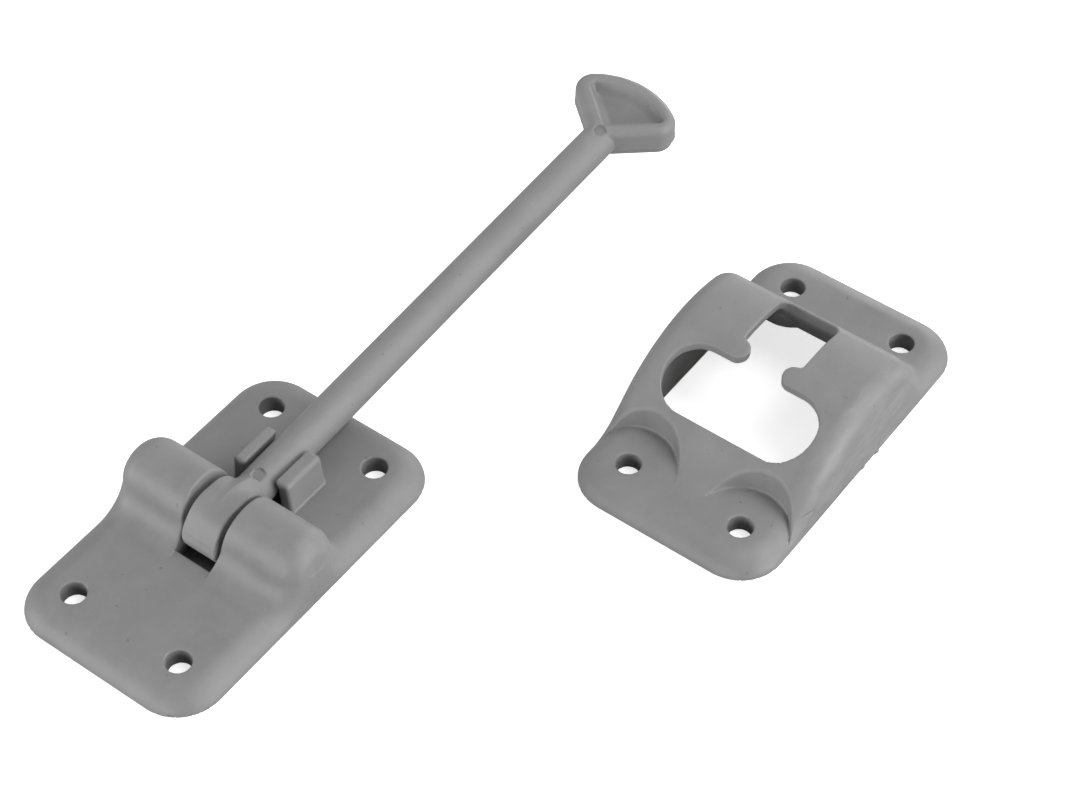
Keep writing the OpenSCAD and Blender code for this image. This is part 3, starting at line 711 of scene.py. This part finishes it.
def build_pieces():
    """All pieces of the catch, each mesh in place of one CAD node."""
    skin = moulded_skin()
    plate_mat = plastic("plate_plastic", GREY, (0.37, 0.91, 0.53), skin)
    keeper_mat = plastic("keeper_plastic", GREY, (1.85, 4.55, 2.65), skin, scuffed_shoulder_painted_light)
    arm_mat = plastic("arm_plastic", GREY, (1.11, 2.73, 1.59), skin, polished_heel_painted_highlight)
    top = CROWN_Z + CROWN_R
    p, q, n = mesh_field(base_field, (-BASE_L / 2, -PLATE_W / 2, 0), (BASE_L / 2, PLATE_W / 2, top), CELL)
    new_piece("base_moulding", p, q, plate_mat, "base", ["base_plate"], n)
    low = (KEEPER_X - KEEPER_L / 2, KEEPER_Y - PLATE_W / 2, 0)
    high = (KEEPER_X + KEEPER_L / 2, KEEPER_Y + PLATE_W / 2, CREST_Z)
    p, q, n = mesh_field(keeper_field, low, high, CELL)
    new_piece("keeper_moulding", p, q, keeper_mat, "base", ["keeper_plate"], n)
    half = HEAD_CORNER_Y + HEAD_CORNER_R
    p, q, n = mesh_field(arm_field, (-HEEL_REACH, -half, -HEEL_REACH), (ARM_L, half, HEEL_REACH), ARM_CELL)
    rise = np.array(Matrix.Rotation(-math.radians(ARM_RISE), 3, "Y"))
    p = p @ rise.T + [PIN_X, 0, PIN_Z]
    n = n @ rise.T
    new_piece("arm_moulding", p, q, arm_mat, "arm", ["hold_arm"], n)
    r, h = PIN_D / 2, PIN_L / 2
    p, q = revolve([(-h, 0.001), (-h, r - 0.3), (-h + 0.09, r - 0.09), (-h + 0.3, r), (h - 0.3, r),
                    (h - 0.09, r - 0.09), (h, r - 0.3), (h, 0.001)], 72)
    p = p + [PIN_X, 0, PIN_Z]
    new_piece("pin", p, q[:, ::-1], steel("pin_steel"), "base", ["hinge_pin"])


# Softboxes round the stage: name, azimuth from +X towards +Y and elevation in degrees, watts
SOFTBOXES = [("low_left", 135, 8, 18.7), ("low_front", 185, 8, 15.1), ("low_right", 270, 8, 16.0),
             ("low_far_right", 315, 8, 5.9), ("low_back", 10, 8, 9.8), ("back", 40, 30, 3.1),
             ("right", 292, 30, 6.2), ("high_right", 300, 58, 10.7), ("high_far", 0, 58, 3.2),
             ("high_left", 90, 58, 3.0)]
AIM, LIGHT_DISTANCE, LIGHT_SIZE, SKY = Vector((0.06, -0.03, 0)), 1.5, 0.8, 0.098
# Camera fitted to the photograph: place in metres, and azimuth and elevation it looks from, in degrees
CAMERA_AT, CAMERA_AZ, CAMERA_EL, CAMERA_LENS = (-0.217658, -0.238792, 0.40940), -53.45, 49.21, 86.188
# The paper floor: its tone to the camera, its lift towards white there, and its tone to all other light
FLOOR_SEEN, FLOOR_LIFT, FLOOR_BOUNCE = 0.86, 0.7, 0.5


def area_light(name, azimuth, elevation, power):
    """Square softbox at LIGHT_DISTANCE from the middle of the stage and facing it."""
    a, e = math.radians(azimuth), math.radians(elevation)
    back = Vector((math.cos(a) * math.cos(e), math.sin(a) * math.cos(e), math.sin(e)))
    data = bpy.data.lights.new(name, "AREA")
    data.shape = "SQUARE"
    data.size = LIGHT_SIZE
    data.energy = power
    o = bpy.data.objects.new(name, data)
    o.location = AIM + back * LIGHT_DISTANCE
    o.rotation_mode = "QUATERNION"
    o.rotation_quaternion = (-back).to_track_quat("-Z", "Y")
    bpy.context.scene.collection.objects.link(o)


def build_stage():
    """Pale floor, soft studio light and the camera of the photograph."""
    mesh = bpy.data.meshes.new("floor")
    s = 3.0
    mesh.from_pydata([(-s, -s, 0), (s, -s, 0), (s, s, 0), (-s, s, 0)], [], [(0, 1, 2, 3)])
    floor = bpy.data.objects.new("floor", mesh)
    m, t, bsdf = new_material("floor_paper")
    bsdf.inputs["Roughness"].default_value = 0.9
    bsdf.inputs["Specular IOR Level"].default_value = 0.1
    bsdf.inputs["Emission Color"].default_value = (1, 1, 1, 1)
    seen = t.add("ShaderNodeLightPath").outputs["Is Camera Ray"]
    shade = t.ramp(seen, 0.0, 1.0, FLOOR_BOUNCE, FLOOR_SEEN)
    t.link(shade, bsdf.inputs["Base Color"])
    t.link(t.math("MULTIPLY", seen, FLOOR_LIFT), bsdf.inputs["Emission Strength"])
    mesh.materials.append(m)
    bpy.context.scene.collection.objects.link(floor)
    floor.location = (0.066, -0.028, -0.00002)
    world = bpy.data.worlds.new("studio")
    bpy.context.scene.world = world
    world.use_nodes = True
    world.node_tree.nodes["Background"].inputs["Color"].default_value = (1, 1, 1, 1)
    world.node_tree.nodes["Background"].inputs["Strength"].default_value = SKY
    for name, azimuth, elevation, power in SOFTBOXES:
        area_light(name, azimuth, elevation, power)
    data = bpy.data.cameras.new("camera")
    data.sensor_width = 36
    data.lens = CAMERA_LENS
    data.clip_start, data.clip_end = 0.01, 10
    camera = bpy.data.objects.new("camera", data)
    camera.location = CAMERA_AT
    az, el = math.radians(CAMERA_AZ), math.radians(CAMERA_EL)
    back = Vector((math.sin(az) * math.cos(el), -math.cos(az) * math.cos(el), math.sin(el)))
    camera.rotation_mode = "QUATERNION"
    camera.rotation_quaternion = (-back).to_track_quat("-Z", "Y")
    bpy.context.scene.collection.objects.link(camera)
    bpy.context.scene.camera = camera
    bpy.context.scene.view_settings.view_transform = "Standard"
    bpy.context.scene.view_settings.look = "None"


build_stage()
build_pieces()
